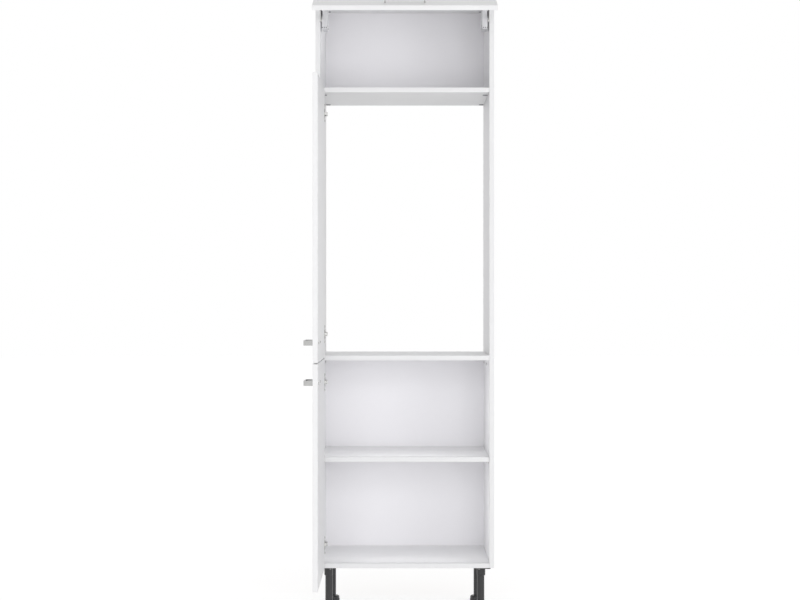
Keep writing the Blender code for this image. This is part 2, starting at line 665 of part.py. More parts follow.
def add_leaf(name, plane, open_angle, low, high, width, handle_place):
    """A door or flap with its cups, links and handle, hung open on its hinges.

    low and high run along the hinge line, and width runs from the hinge edge to the free edge.
    handle_place turns and moves the handle onto the outer face, in the closed leaf's frame.
    """
    square_off = LINK_TURN_SHARE * (open_angle - DOOR_OPEN_ANGLE)
    link_turn = Matrix.Rotation(square_off, 4, "Z")
    link_place = plane @ Matrix.Translation(in_plane(ARM_PIVOT)) @ link_turn
    link_pivot = add_empty(name + "_link_pivot", link_place, CARCASS)
    place = Matrix.Translation(in_plane(cup_pivot(open_angle))) @ Matrix.Rotation(-open_angle, 4, "Z")
    pivot = add_empty(name + "_pivot", plane @ place, CARCASS)

    leaf = add_board(name, leaf_corner(0, -LEAF_BOARD, low), leaf_corner(width, 0, high), pivot, WHITE_FRONT)
    bores = []
    hinge_spots = (low + HINGE_END_DISTANCE, high - HINGE_END_DISTANCE)
    for end_name, spot in zip(HINGE_ENDS[name], hinge_spots):
        hinge = f"{name}_{end_name}_hinge"
        arm = placed_mesh(arm_mesh(spot), plane)
        plate = placed_mesh(plate_mesh(spot), plane)
        smooth(add_object(hinge + "_link", link_mesh(spot), link_pivot, NICKEL_STEEL))
        smooth(add_object(hinge + "_cup", cup_mesh(spot), pivot, NICKEL_STEEL))
        smooth(add_object(hinge + "_arm", arm, CARCASS, NICKEL_STEEL))
        add_object(hinge + "_plate", plate, CARCASS, NICKEL_STEEL)
        bore_floor = in_plane(cup_place(-CUP_DEPTH - FIT), spot)
        bore_mouth = in_plane(cup_place(OVERRUN), spot)
        bores.append(rod_mesh(bore_floor, bore_mouth, CUP_RADIUS + FIT, sides=ROUND_SIDES))
    cut_object(leaf, name + "_bores", bores)
    outward = Matrix.Translation((0, 0, FIT))
    handle = placed_mesh(handle_mesh(), handle_place @ outward)
    smooth(add_object(name + "_handle", handle, pivot, SATIN_HANDLE))
    return pivot


def handle_on_door(along):
    """A horizontal handle near a door's free edge."""
    middle = LEAF_WIDTH - HANDLE_FROM_FREE_EDGE - HANDLE_SPACING / 2
    outer = leaf_corner(middle, -LEAF_BOARD, along)
    turned = Matrix(((1, 0, 0, 0), (0, 0, -1, 0), (0, 1, 0, 0), (0, 0, 0, 1)))
    return Matrix.Translation(outer) @ turned


def handle_on_flap():
    """A handle centred across the flap, near its free edge."""
    outer = leaf_corner(FLAP_LENGTH - HANDLE_FROM_LEAF_END, -LEAF_BOARD, OUTER_WIDTH / 2)
    turned = Matrix(((0, 1, 0, 0), (0, 0, -1, 0), (-1, 0, 0, 0), (0, 0, 0, 1)))
    return Matrix.Translation(outer) @ turned


# Layers of a lift, counted from the wall: its plate, the link, the arm and the case.
LINK_LAYER = LIFT_PLATE_THICKNESS + FIT + LIFT_LAYER_GAP
ARM_LAYER = LINK_LAYER + LIFT_ARM_THICKNESS + LIFT_LAYER_GAP


def lift_wall_frame(face, inward):
    """A lift's frame: X down from the top, Y backward, Z away from the wall it is screwed to."""
    wall = across(face, inward, BOARD)
    return Matrix(((0, 0, inward, wall), (0, 1, 0, 0), (-1, 0, 0, CARCASS_HEIGHT), (0, 0, 0, 1)))


def lift_rod(centre, start, end, radius):
    """A round pin across the layers of a lift."""
    return rod_mesh(in_plane(centre, start), in_plane(centre, end), radius)


def lift_case_mesh():
    """The lift's case: a wall plate, a spacer block, the pivot pin and the spring case."""
    top = BOARD + LIFT_CASE_TOP_GAP
    rear = LIFT_CASE_FRONT + LIFT_CASE_DEPTH
    case = box_mesh((top, LIFT_CASE_FRONT, LIFT_SLOT_WIDTH), (LIFT_CASE_BOTTOM, rear, LIFT_CASE_THICKNESS))
    case_shape = bmesh.new()
    case_shape.from_mesh(case)
    half_way = (LIFT_CASE_THICKNESS + LIFT_SLOT_WIDTH) / 2
    outer_edges = [edge for edge in case_shape.edges if min(vertex.co.z for vertex in edge.verts) > half_way]
    bmesh.ops.bevel(case_shape, geom=outer_edges, offset=LIFT_CASE_ROUND, segments=2, affect="EDGES",
                    profile=0.5)
    case = finished_mesh(case_shape, "case")
    plate = box_mesh((top, LIFT_CASE_FRONT, FIT), (LIFT_CASE_BOTTOM, rear, FIT + LIFT_PLATE_THICKNESS))
    spacer = box_mesh((top, LIFT_SPACER_BEHIND, FIT + LIFT_PLATE_THICKNESS / 2),
                      (top + LIFT_SPACER_BELOW, rear, LIFT_SLOT_WIDTH + LIFT_PLATE_THICKNESS))
    pin = lift_rod(LIFT_PIVOT, FIT + LIFT_PLATE_THICKNESS / 2, LIFT_SLOT_WIDTH + LIFT_PLATE_THICKNESS,
                   LIFT_PIN_RADIUS)
    return solid_mesh(case, joined=[spacer, plate, pin])


def lift_arm_mesh():
    """The lift's arm from the case's pin to the elbow, from the pivot, with the elbow's pin."""
    elbow = LIFT_ARM_OPEN
    bar = eyed_bar_mesh([0j, elbow], LIFT_ARM_HALF_WIDTH, LIFT_ARM_THICKNESS / 2,
                        [(0j, LIFT_PIN_RADIUS + FIT)])
    bar = placed_mesh(bar, Matrix.Translation((0, 0, ARM_LAYER + LIFT_ARM_THICKNESS / 2)))
    pin = lift_rod(elbow, LINK_LAYER, ARM_LAYER + LIFT_ARM_THICKNESS / 2, LIFT_PIN_RADIUS)
    return solid_mesh(bar, joined=[pin])


def lift_link_mesh():
    """The lift's link from the elbow to the stud on the flap, from the elbow."""
    holes = [(0j, LIFT_PIN_RADIUS + FIT), (LIFT_LINK_OPEN, LIFT_PIN_RADIUS + LIFT_PIN_CLEARANCE)]
    bar = eyed_bar_mesh([0j, LIFT_LINK_OPEN], LIFT_LINK_HALF_WIDTH, LIFT_ARM_THICKNESS / 2, holes)
    return placed_mesh(bar, Matrix.Translation((0, 0, LINK_LAYER + LIFT_ARM_THICKNESS / 2)))


def flap_bracket_mesh():
    """The flap's bracket in the closed leaf's plane: a foot on the inner face, an ear and a stud."""
    stud = complex(REVEAL + FLAP_STUD_INSET, -FACE_GAP + FLAP_STUD_PROUD)
    foot_low = -FACE_GAP + FIT
    low, high = stud.real - FLAP_BRACKET_LENGTH / 2, stud.real + FLAP_BRACKET_LENGTH / 2
    foot = box_mesh((low, foot_low, ARM_LAYER),
                    (high, foot_low + FLAP_BRACKET_THICKNESS, ARM_LAYER + FLAP_BRACKET_BASE))
    ear_half = LIFT_PIN_RADIUS * 2
    outline = [complex(stud.real - ear_half * 2, foot_low + FLAP_BRACKET_THICKNESS / 2),
               complex(stud.real + ear_half * 2, foot_low + FLAP_BRACKET_THICKNESS / 2)]
    outline += half_circle(stud, 1j, ear_half, 6)
    ear = placed_mesh(outline_mesh(outline, [], LIFT_ARM_THICKNESS / 2),
                      Matrix.Translation((0, 0, ARM_LAYER + LIFT_ARM_THICKNESS / 2)))
    pin = lift_rod(stud, LINK_LAYER, ARM_LAYER + LIFT_ARM_THICKNESS / 2, LIFT_PIN_RADIUS)
    return solid_mesh(foot, joined=[ear, pin])


def add_lifts(flap_pivot):
    """Both flap lifts: cases on the sides, arms, links and the brackets on the flap."""
    to_flap = Matrix.Translation(-in_plane(CUP_PIVOT_CLOSED))
    for name, (face, inward) in zip(("left", "right"), SIDE_WALLS):
        frame = lift_wall_frame(face, inward)
        mirror = Matrix.Diagonal((1, 1, frame.determinant(), 1))
        smooth(add_object(name + "_lift_case", placed_mesh(lift_case_mesh(), frame), CARCASS, LIGHT_PLASTIC))
        turning = TOP_PLANE @ Matrix.Translation(in_plane(LIFT_PIVOT, across(face, inward, BOARD)))
        arm_pivot_empty = add_empty(name + "_lift_arm_pivot", turning, CARCASS)
        arm = placed_mesh(lift_arm_mesh(), mirror)
        smooth(add_object(name + "_lift_arm", arm, arm_pivot_empty, NICKEL_STEEL))
        elbow = TOP_PLANE @ Matrix.Translation(in_plane(LIFT_ELBOW, across(face, inward, BOARD)))
        elbow_empty = add_empty(name + "_lift_elbow", elbow, CARCASS)
        link = placed_mesh(lift_link_mesh(), mirror)
        smooth(add_object(name + "_lift_link", link, elbow_empty, NICKEL_STEEL))
        wall = Matrix.Translation((0, 0, across(face, inward, BOARD)))
        bracket = placed_mesh(flap_bracket_mesh(), to_flap @ wall @ mirror)
        smooth(add_object(name + "_lift_bracket", bracket, flap_pivot, NICKEL_STEEL))


def foot_places():
    """Name, place and outward direction of each foot under the bottom board."""
    for depth_name, behind in (("front", FRONT_FOOT_BEHIND), ("rear", REAR_FOOT_BEHIND)):
        for side_name, (face, inward) in zip(("left", "right"), SIDE_WALLS):
            yield depth_name + "_" + side_name, (across(face, inward, FOOT_FROM_SIDE), behind, 0), -inward


def turned_mesh(profile):
    """A turned shape from a closed profile of radius and height points, outer side running down."""
    mesh = bpy.data.meshes.new("profile")
    count = len(profile)
    mesh.from_pydata([(radius, 0, height) for radius, height in profile],
                     [(index, (index + 1) % count) for index in range(count)], [])
    work = add_object("work", mesh, collection=CUTTERS)
    turning = work.modifiers.new("turning", "SCREW")
    turning.steps = ROUND_SIDES
    turning.render_steps = ROUND_SIDES
    turning.use_merge_vertices = True
    turning.merge_threshold = FIT / 100
    bpy.context.view_layer.update()
    result = bpy.data.meshes.new_from_object(work.evaluated_get(bpy.context.evaluated_depsgraph_get()))
    bpy.data.objects.remove(work, do_unlink=True)
    shape = bmesh.new()
    shape.from_mesh(result)
    bmesh.ops.recalc_face_normals(shape, faces=shape.faces)
    return finished_mesh(shape, "turned")


def foot_body_mesh():
    """The foot's plate, which reaches outward along X, and the collar and tube that hang from it."""
    high = -FIT
    half = FOOT_PLATE_WIDTH / 2
    shape = bmesh.new()
    shape.from_mesh(box_mesh((-FOOT_TUBE_RADIUS, -half, high - FOOT_PLATE_THICKNESS),
                             (FOOT_PLATE_OUTWARD, half, high)))
    uprights = [edge for edge in shape.edges
                if abs(edge.verts[0].co.z - edge.verts[1].co.z) > FOOT_PLATE_THICKNESS / 2]
    bmesh.ops.bevel(shape, geom=uprights, offset=FOOT_PLATE_CORNER, segments=3, affect="EDGES", profile=0.5)
    plate = finished_mesh(shape, "plate")
    inside_plate = high - FOOT_PLATE_THICKNESS / 2
    low = -FOOT_HEIGHT + FOOT_BASE_HEIGHT - FOOT_TUBE_ENGAGED
    inner = FOOT_TUBE_RADIUS - FOOT_TUBE_WALL
    tube = turned_mesh([(0, inside_plate),
                        (FOOT_TUBE_RADIUS, inside_plate),
                        (FOOT_TUBE_RADIUS, low),
                        (inner, low),
                        (inner, high - 2 * FOOT_PLATE_THICKNESS),
                        (0, high - 2 * FOOT_PLATE_THICKNESS)])
    collar = turned_mesh([(0, inside_plate),
                          (FOOT_COLLAR_RADIUS, inside_plate),
                          (FOOT_COLLAR_RADIUS, high - FOOT_COLLAR_HEIGHT + FOOT_COLLAR_TAPER),
                          (FOOT_COLLAR_RADIUS - FOOT_COLLAR_TAPER, high - FOOT_COLLAR_HEIGHT),
                          (0, high - FOOT_COLLAR_HEIGHT)])
    collar = placed_mesh(collar, Matrix.Translation((FOOT_COLLAR_OUTWARD, 0, 0)))
    bore_mouth = Vector((0, 0, low - OVERRUN))
    bore = rod_mesh(bore_mouth, (0, 0, high - 2 * FOOT_PLATE_THICKNESS), inner, sides=ROUND_SIDES)
    holes = [bore]
    for inset in (FOOT_PLATE_OUTWARD - FOOT_SCREW_FROM_EDGE, FOOT_SCREW_FROM_EDGE - FOOT_TUBE_RADIUS):
        for side in (-1, 1):
            spot = Vector((inset, side * (half - FOOT_SCREW_FROM_EDGE), high))
            depth = Vector((0, 0, FOOT_PLATE_THICKNESS + OVERRUN))
            holes.append(rod_mesh(spot - depth, spot + depth, SCREW_HOLE_RADIUS, sides=HOLE_SIDES))
    return solid_mesh(plate, joined=[collar, tube], cut=holes)


def foot_base_mesh():
    """The foot's screw-out base: a round cup round the tube's end and a stem inside the tube."""
    sole = -FOOT_HEIGHT
    top = sole + FOOT_BASE_HEIGHT
    floor = sole + FOOT_BASE_FLOOR
    bore = FOOT_TUBE_RADIUS + FIT
    stem = FOOT_TUBE_RADIUS - FOOT_TUBE_WALL - FIT
    stem_top = sole + FOOT_STEM_HEIGHT
    return turned_mesh([(0, stem_top), (stem, stem_top), (stem, floor), (bore, floor), (bore, top),
                        (FOOT_BASE_RADIUS - FOOT_BASE_CHAMFER, top),
                        (FOOT_BASE_RADIUS, top - FOOT_BASE_CHAMFER), (FOOT_BASE_RADIUS, sole), (0, sole)])


def add_feet():
    """Four plinth feet, each a plate with its tube and a base that screws out of it."""
    for name, place, outward in foot_places():
        facing = Matrix.Diagonal((outward, 1, 1, 1))
        for piece, mesh in (("body", foot_body_mesh()), ("base", foot_base_mesh())):
            foot = add_object(name + "_foot_" + piece, placed_mesh(mesh, facing), CARCASS, BLACK_PLASTIC)
            foot.location = place
            smooth(foot)


def build():
    """Model the whole unit."""
    add_side_board("left_side_panel", 0, 1)
    add_side_board("right_side_panel", OUTER_WIDTH, -1)
    add_fixed_board("bottom_panel", 0)
    add_fixed_board("niche_floor_panel", NICHE_FLOOR_LEVEL)
    add_fixed_board("niche_top_panel", NICHE_TOP_LEVEL)
    add_fixed_board("top_panel", TOP_BOARD_LEVEL)
    add_shelf()
    add_back("lower_back_panel", 0, NICHE_FLOOR_LEVEL + BOARD)
    add_back("upper_back_panel", NICHE_TOP_LEVEL, CARCASS_HEIGHT)
    add_shelf_pins()
    add_feet()

    doors = (("lower_door", LOWER_DOOR_LOW, LOWER_DOOR_HIGH, LOWER_DOOR_HIGH - HANDLE_FROM_LEAF_END),
             ("upper_door", UPPER_DOOR_LOW, UPPER_DOOR_HIGH, UPPER_DOOR_LOW + HANDLE_FROM_LEAF_END))
    for name, low, high, handle_level in doors:
        handle_place = handle_on_door(handle_level)
        add_leaf(name, SIDE_PLANE, DOOR_OPEN_ANGLE, low, high, LEAF_WIDTH, handle_place)
    left, right = REVEAL, OUTER_WIDTH - REVEAL
    flap = add_leaf("flap", TOP_PLANE, FLAP_OPEN_ANGLE, left, right, FLAP_LENGTH, handle_on_flap())
    add_lifts(flap)


build()
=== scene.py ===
import json
import math

import bpy
from mathutils import Matrix, Vector


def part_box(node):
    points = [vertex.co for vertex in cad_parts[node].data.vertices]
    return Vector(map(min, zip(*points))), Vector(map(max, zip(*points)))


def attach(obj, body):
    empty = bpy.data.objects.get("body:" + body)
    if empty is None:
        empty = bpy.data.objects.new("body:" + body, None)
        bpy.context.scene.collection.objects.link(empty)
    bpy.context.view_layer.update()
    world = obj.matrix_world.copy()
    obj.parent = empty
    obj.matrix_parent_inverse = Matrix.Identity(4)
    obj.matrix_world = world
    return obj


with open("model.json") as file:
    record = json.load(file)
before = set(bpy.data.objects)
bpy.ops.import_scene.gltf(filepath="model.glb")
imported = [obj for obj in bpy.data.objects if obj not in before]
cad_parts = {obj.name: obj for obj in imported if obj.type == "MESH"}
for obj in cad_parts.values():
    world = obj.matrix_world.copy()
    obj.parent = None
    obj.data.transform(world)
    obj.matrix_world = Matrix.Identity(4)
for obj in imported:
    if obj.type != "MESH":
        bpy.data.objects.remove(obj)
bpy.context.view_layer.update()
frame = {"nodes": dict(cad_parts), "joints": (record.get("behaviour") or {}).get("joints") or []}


# Carcass boards and the loose shelf: 16 mm chipboard faced on both sides with white melamine foil.
# The front edges have a 1 mm edge band, glued on and trimmed flush. The rear edges, which stand
# to the wall, are left as sawn chipboard.
edge_band = 0.001
band_seam = 0.0004
pearl_size = 0.0016
smudge_size = 0.09
chip_size = 0.0024
melamine_white = "#F2F2F3"
melamine_shade = "#EFEFF0"
seam_grey = "#C9C8C5"
seam_share = 0.7
foil_smoothest = 0.34
foil_roughest = 0.46
chip_pale = "#D2BA93"
chip_dark = "#9A774C"
chip_roughness = 0.9
carcass_boards = ["left_side_panel", "right_side_panel", "bottom_panel", "niche_floor_panel",
                  "niche_top_panel", "top_panel", "adjustable_shelf"]


def linear(hex_colour):
    """A linear colour from the sRGB hex value that a colour chart gives."""
    parts = [int(hex_colour[place:place + 2], 16) / 255 for place in (1, 3, 5)]
    return [part / 12.92 if part <= 0.04045 else ((part + 0.055) / 1.055) ** 2.4 for part in parts] + [1.0]


def add_node(finish, kind, settings, inputs):
    """Adds a node with its settings. An input is a number, a colour or the output that is linked to it."""
    node = finish.node_tree.nodes.new(kind)
    for name, value in settings.items():
        setattr(node, name, value)
    for name, value in inputs.items():
        if isinstance(value, bpy.types.NodeSocket):
            finish.node_tree.links.new(value, node.inputs[name])
        else:
            node.inputs[name].default_value = value
    return node.outputs


def new_finish(name, metallic=0.0):
    """A new material and its shader."""
    finish = bpy.data.materials.new(name)
    finish.use_nodes = True
    shader = finish.node_tree.nodes["Principled BSDF"]
    shader.inputs["Metallic"].default_value = metallic
    return finish, shader


def give_surface(finish, shader, colour, roughness, height, depth, strength):
    """Links a colour, a roughness and a relief of the given depth in metres to the shader."""
    relief = add_node(finish, "ShaderNodeBump", {},
                      {"Height": height, "Strength": strength, "Distance": depth})
    for socket, output in (("Base Color", colour), ("Roughness", roughness), ("Normal", relief[0])):
        finish.node_tree.links.new(output, shader.inputs[socket])


def box_along(node, turn):
    """The lowest and highest corners of a CAD node, in axes turned by the given rotation."""
    back = turn.inverted()
    points = [back @ vertex.co for vertex in frame["nodes"][node].data.vertices]
    return (Vector([min(point[axis] for point in points) for axis in range(3)]),
            Vector([max(point[axis] for point in points) for axis in range(3)]))


def melamine_finish(name, seams, turn, raw_rear=None):
    """White melamine foil: matt, with a fine pearl grain that breaks up its sheen and faint smudges in it.

    seams lists the axis and place of each joint between a band and the foil, a hairline a shade darker
    that is drawn wider than the real glue line, or it would be too fine to show.
    raw_rear is the place along Y behind which a face to the wall is bare chipboard.
    """
    finish, shader = new_finish(name)
    coords = add_node(finish, "ShaderNodeTexCoord", {}, {})
    place = add_node(finish, "ShaderNodeMapping", {},
                     {"Vector": coords["Object"], "Rotation": turn.inverted().to_euler()})[0]
    axes = add_node(finish, "ShaderNodeSeparateXYZ", {}, {0: place})
    smudge = add_node(finish, "ShaderNodeTexNoise", {},
                      {"Vector": place, "Scale": 1 / smudge_size, "Detail": 3.0})
    colour = add_node(finish, "ShaderNodeMix", {"data_type": "RGBA"},
                      {0: smudge["Fac"], 6: linear(melamine_white), 7: linear(melamine_shade)})[2]
    for axis, spot in seams:
        apart = add_node(finish, "ShaderNodeMath", {"operation": "SUBTRACT"}, {0: axes[axis], 1: spot})[0]
        apart = add_node(finish, "ShaderNodeMath", {"operation": "ABSOLUTE"}, {0: apart})[0]
        line = add_node(finish, "ShaderNodeMapRange", {"interpolation_type": "SMOOTHSTEP"},
                        {"Value": apart, "From Max": band_seam, "To Min": seam_share, "To Max": 0.0})[0]
        colour = add_node(finish, "ShaderNodeMix", {"data_type": "RGBA"},
                          {0: line, 6: colour, 7: linear(seam_grey)})[2]
    pearl = add_node(finish, "ShaderNodeTexNoise", {},
                     {"Vector": place, "Scale": 1 / pearl_size, "Detail": 2.0, "Roughness": 0.45})["Fac"]
    rough = add_node(finish, "ShaderNodeMapRange", {},
                     {"Value": smudge["Fac"], "To Min": foil_smoothest, "To Max": foil_roughest})[0]
    if raw_rear is not None:
        facing = add_node(finish, "ShaderNodeSeparateXYZ", {}, {0: coords["Normal"]})[1]
        rearward = add_node(finish, "ShaderNodeMath", {"operation": "GREATER_THAN"}, {0: facing, 1: 0.5})[0]
        behind = add_node(finish, "ShaderNodeMath", {"operation": "GREATER_THAN"},
                          {0: axes[1], 1: raw_rear})[0]
        raw = add_node(finish, "ShaderNodeMath", {"operation": "MULTIPLY"}, {0: rearward, 1: behind})[0]
        chips = add_node(finish, "ShaderNodeTexVoronoi", {}, {"Vector": place, "Scale": 1 / chip_size})
        tone = add_node(finish, "ShaderNodeSeparateColor", {}, {0: chips["Color"]})[0]
        chip = add_node(finish, "ShaderNodeMix", {"data_type": "RGBA"},
                        {0: tone, 6: linear(chip_pale), 7: linear(chip_dark)})[2]
        colour = add_node(finish, "ShaderNodeMix", {"data_type": "RGBA"}, {0: raw, 6: colour, 7: chip})[2]
        pearl = add_node(finish, "ShaderNodeMix", {}, {0: raw, 2: pearl, 3: chips["Distance"]})[0]
        rough = add_node(finish, "ShaderNodeMix", {}, {0: raw, 2: rough, 3: chip_roughness})[0]
    give_surface(finish, shader, colour, rough, pearl, depth=pearl_size / 4, strength=0.05)
    return finish


upright = Matrix.Identity(3)
for board in carcass_boards:
    low, high = box_along(board, upright)
    frame["nodes"][board].data.materials[0] = melamine_finish(
        "white melamine foil on " + board.replace("_", " "), [(1, low.y + edge_band)], upright,
        raw_rear=high.y - edge_band)


# Corner connectors: round housings of die-cast zinc, pressed into bores under the fixed boards,
# close to the side panels. A cross-slotted cam in each draws the board tight to its side.
connector_radius = 0.0085
connector_stand = 0.0022
connector_from_side = 0.0107
connector_front = 0.097
connector_rear = 0.474
housing_chamfer = connector_radius * 0.12
housing_rise = connector_stand * 0.2
cam_seat_inset = connector_radius * 0.30
cam_seat_depth = connector_stand * 0.45
cam_radius = connector_radius * 0.44
cam_height = connector_stand * 0.55
cam_level = connector_stand * 0.6


def metal_finish(name, pale, dark, smoothest, roughest, grain, stretch=(1.0, 1.0, 1.0)):
    """Metal whose grain shows in its colour, sheen and relief. stretch draws the grain out into lines."""
    finish, shader = new_finish(name, metallic=1.0)
    place = add_node(finish, "ShaderNodeTexCoord", {}, {})["Object"]
    place = add_node(finish, "ShaderNodeMapping", {}, {"Vector": place, "Scale": stretch})[0]
    streak = add_node(finish, "ShaderNodeTexNoise", {},
                      {"Vector": place, "Scale": 1 / grain, "Detail": 3.0, "Roughness": 0.6})["Fac"]
    colour = add_node(finish, "ShaderNodeMix", {"data_type": "RGBA"},
                      {0: streak, 6: linear(pale), 7: linear(dark)})[2]
    rough = add_node(finish, "ShaderNodeMapRange", {},
                     {"Value": streak, "To Min": smoothest, "To Max": roughest})[0]
    give_surface(finish, shader, colour, rough, streak, depth=grain / 4, strength=0.08)
    return finish


def start_shape(add, name, **settings):
    """A new primitive, the only object selected."""
    bpy.ops.object.select_all(action="DESELECT")
    add(**settings)
    bpy.context.active_object.name = name
    return bpy.context.active_object


def pick_faces(shape, test):
    """Goes into edit mode with only the faces selected that pass the test."""
    bpy.ops.object.mode_set(mode="EDIT")
    bpy.ops.mesh.select_mode(type="FACE")
    bpy.ops.mesh.select_all(action="DESELECT")
    bpy.ops.object.mode_set(mode="OBJECT")
    for face in shape.data.polygons:
        face.select = test(face)
    bpy.ops.object.mode_set(mode="EDIT")


def settle(shape, finish):
    """Leaves edit mode, puts the shape's place into its mesh, smooths its shading and gives it its finish."""
    bpy.ops.object.mode_set(mode="OBJECT")
    bpy.ops.object.transform_apply(location=True, rotation=True, scale=True)
    bpy.ops.object.shade_smooth_by_angle(angle=math.radians(35))
    shape.data.materials.clear()
    shape.data.materials.append(finish)


def cut_away(shape, cutter):
    """Cuts one shape out of another and deletes the cutter."""
    bpy.ops.object.select_all(action="DESELECT")
    bpy.context.view_layer.objects.active = shape
    shape.select_set(True)
    cut = shape.modifiers.new("cut", "BOOLEAN")
    cut.object = cutter
    cut.solver = "EXACT"
    bpy.ops.object.modifier_apply(modifier=cut.name)
    bpy.data.objects.remove(cutter)


def cross_screw(name, radius, height, finish):
    """A domed screw head standing on Z = 0, with a cross recess and the start of its shank below."""
    dome_steps = ((0.18, 0.28), (0.30, 0.16))
    shank_inset = radius * 0.52
    shank_length = height * 0.8
    recess_size = (radius * 1.1, radius * 0.26, height * 1.3)
    recess_middle = height * 1.35
    head = start_shape(bpy.ops.mesh.primitive_cylinder_add, name, vertices=24, radius=radius, depth=height,
                       location=(0, 0, height / 2))
    pick_faces(head, lambda face: face.normal.z > 0.9)
    for width_share, rise_share in dome_steps:
        bpy.ops.mesh.inset(thickness=radius * width_share, depth=height * rise_share)
    settle(head, finish)
    pick_faces(head, lambda face: face.normal.z < -0.9)
    bpy.ops.mesh.inset(thickness=shank_inset)
    bpy.ops.mesh.extrude_region_move(TRANSFORM_OT_translate={"value": (0, 0, -shank_length)})
    settle(head, finish)
    for turn in (0.0, math.radians(90)):
        bar = start_shape(bpy.ops.mesh.primitive_cube_add, "recess", size=1, rotation=(0, 0, turn),
                          location=(0, 0, recess_middle), scale=recess_size)
        bpy.ops.object.transform_apply(location=True, rotation=True, scale=True)
        cut_away(head, bar)
    settle(head, finish)
    return head


def fit_copy(master, name, place, body):
    """A copy of a modelled fitting, with its own mesh set in its place, that rides on a body."""
    piece = bpy.data.objects.new(name, master.data.copy())
    piece.data.transform(place)
    bpy.context.scene.collection.objects.link(piece)
    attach(piece, body)


# Die-cast zinc is grey and a little dull. Its cast grain is drawn 0.9 mm wide, coarser than it is,
# or it would be too fine to show in a close view.
cast_zinc = metal_finish("die-cast zinc", "#A5A6A8", "#8F9092", smoothest=0.34, roughest=0.48, grain=0.0009)
housing = start_shape(bpy.ops.mesh.primitive_cylinder_add, "housing", vertices=36, radius=connector_radius,
                      depth=connector_stand, location=(0, 0, connector_stand / 2))
pick_faces(housing, lambda face: face.normal.z > 0.9)
bpy.ops.mesh.inset(thickness=housing_chamfer, depth=housing_rise)
bpy.ops.mesh.inset(thickness=cam_seat_inset)
bpy.ops.mesh.extrude_region_move(TRANSFORM_OT_translate={"value": (0, 0, -cam_seat_depth)})
settle(housing, cast_zinc)
cam = cross_screw("cam", radius=cam_radius, height=cam_height, finish=cast_zinc)
cam.data.transform(Matrix.Translation((0, 0, cam_level)))
inner_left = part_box("left_side_panel")[1].x
inner_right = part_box("right_side_panel")[0].x
facing_down = Matrix.Rotation(math.radians(180), 4, "X")
for board in ("bottom_panel", "niche_floor_panel", "niche_top_panel", "top_panel"):
    low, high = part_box(board)
    for side, x in (("left", inner_left + connector_from_side), ("right", inner_right - connector_from_side)):
        for row, behind in (("front", connector_front), ("rear", connector_rear)):
            spot = Matrix.Translation((x, low.y + behind, low.z)) @ facing_down
            corner = "_".join((board.replace("_panel", ""), side, row))
            fit_copy(housing, corner + "_connector", spot, "carcass")
            fit_copy(cam, corner + "_cam", spot, "carcass")
bpy.data.objects.remove(housing)
bpy.data.objects.remove(cam)


# Back panels: 3 mm hardboard, pressed wood fibre with white lacquer on the room side only.
# They slide into grooves in the side panels, and the face to the wall is bare brown fibre.
fibre_size = 0.004
fibre_relief = 0.0006
back_white = "#EFEEF1"
fibre_pale = "#94704A"
fibre_dark = "#7A5836"
lacquer_roughness = 0.45
fibre_roughness = 0.85
# The lacquer is smooth and a little blue. The bare side is matt and felted, with darker fibres in it.
hardboard, shader = new_finish("lacquered hardboard")
coords = add_node(hardboard, "ShaderNodeTexCoord", {}, {})
facing = add_node(hardboard, "ShaderNodeSeparateXYZ", {}, {0: coords["Normal"]})[1]
bare = add_node(hardboard, "ShaderNodeMath", {"operation": "GREATER_THAN"}, {0: facing, 1: -0.5})[0]
fibres = add_node(hardboard, "ShaderNodeTexNoise", {}, {"Vector": coords["Object"], "Scale": 1 / fibre_size,
                                                        "Detail": 6.0, "Roughness": 0.7})["Fac"]
brown = add_node(hardboard, "ShaderNodeMix", {"data_type": "RGBA"},
                 {0: fibres, 6: linear(fibre_pale), 7: linear(fibre_dark)})[2]
colour = add_node(hardboard, "ShaderNodeMix", {"data_type": "RGBA"},
                  {0: bare, 6: linear(back_white), 7: brown})[2]
rough = add_node(hardboard, "ShaderNodeMix", {}, {0: bare, 2: lacquer_roughness, 3: fibre_roughness})[0]
give_surface(hardboard, shader, colour, rough, fibres, depth=fibre_relief, strength=0.06)
for panel in ("lower_back_panel", "upper_back_panel"):
    frame["nodes"][panel].data.materials[0] = hardboard


# Shelf pins and joining bolts: turned steel, nickel plated. The shelf lies on the pins, which are
# pushed into the side panels. The bolts go through both walls, under the niche, to the next unit.
bolt_radius = 0.005
bolt_height = 0.0016
bolt_under_niche = 0.020
bolt_depths = (0.231, 0.457)
# Nickel plate is bright and hardly tinted, and mirrors the white boards round it. The unevenness
# of its sheen is drawn 3 mm wide, coarser than it is, or it would be too fine to show.
nickel_steel = metal_finish("nickel plated steel", "#DCDCDA", "#C6C6C4", smoothest=0.18, roughest=0.28,
                            grain=0.003)
for node in frame["nodes"]:
    if node.endswith("_shelf_pin"):
        frame["nodes"][node].data.materials[0] = nickel_steel


def stand_on(direction):
    """A turn that points a fitting's Z axis along a direction."""
    return direction.to_track_quat("Z", "Y").to_matrix().to_4x4()


joining_bolt = cross_screw("joining_bolt", radius=bolt_radius, height=bolt_height, finish=nickel_steel)
niche_floor_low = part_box("niche_floor_panel")[0]
for side, x, inward in (("left", inner_left, 1), ("right", inner_right, -1)):
    for row, depth in zip(("front", "rear"), bolt_depths):
        spot = Matrix.Translation((x, niche_floor_low.y + depth, niche_floor_low.z - bolt_under_niche))
        fit_copy(joining_bolt, side + "_" + row + "_joining_bolt", spot @ stand_on(Vector((inward, 0, 0))),
                 "carcass")
bpy.data.objects.remove(joining_bolt)


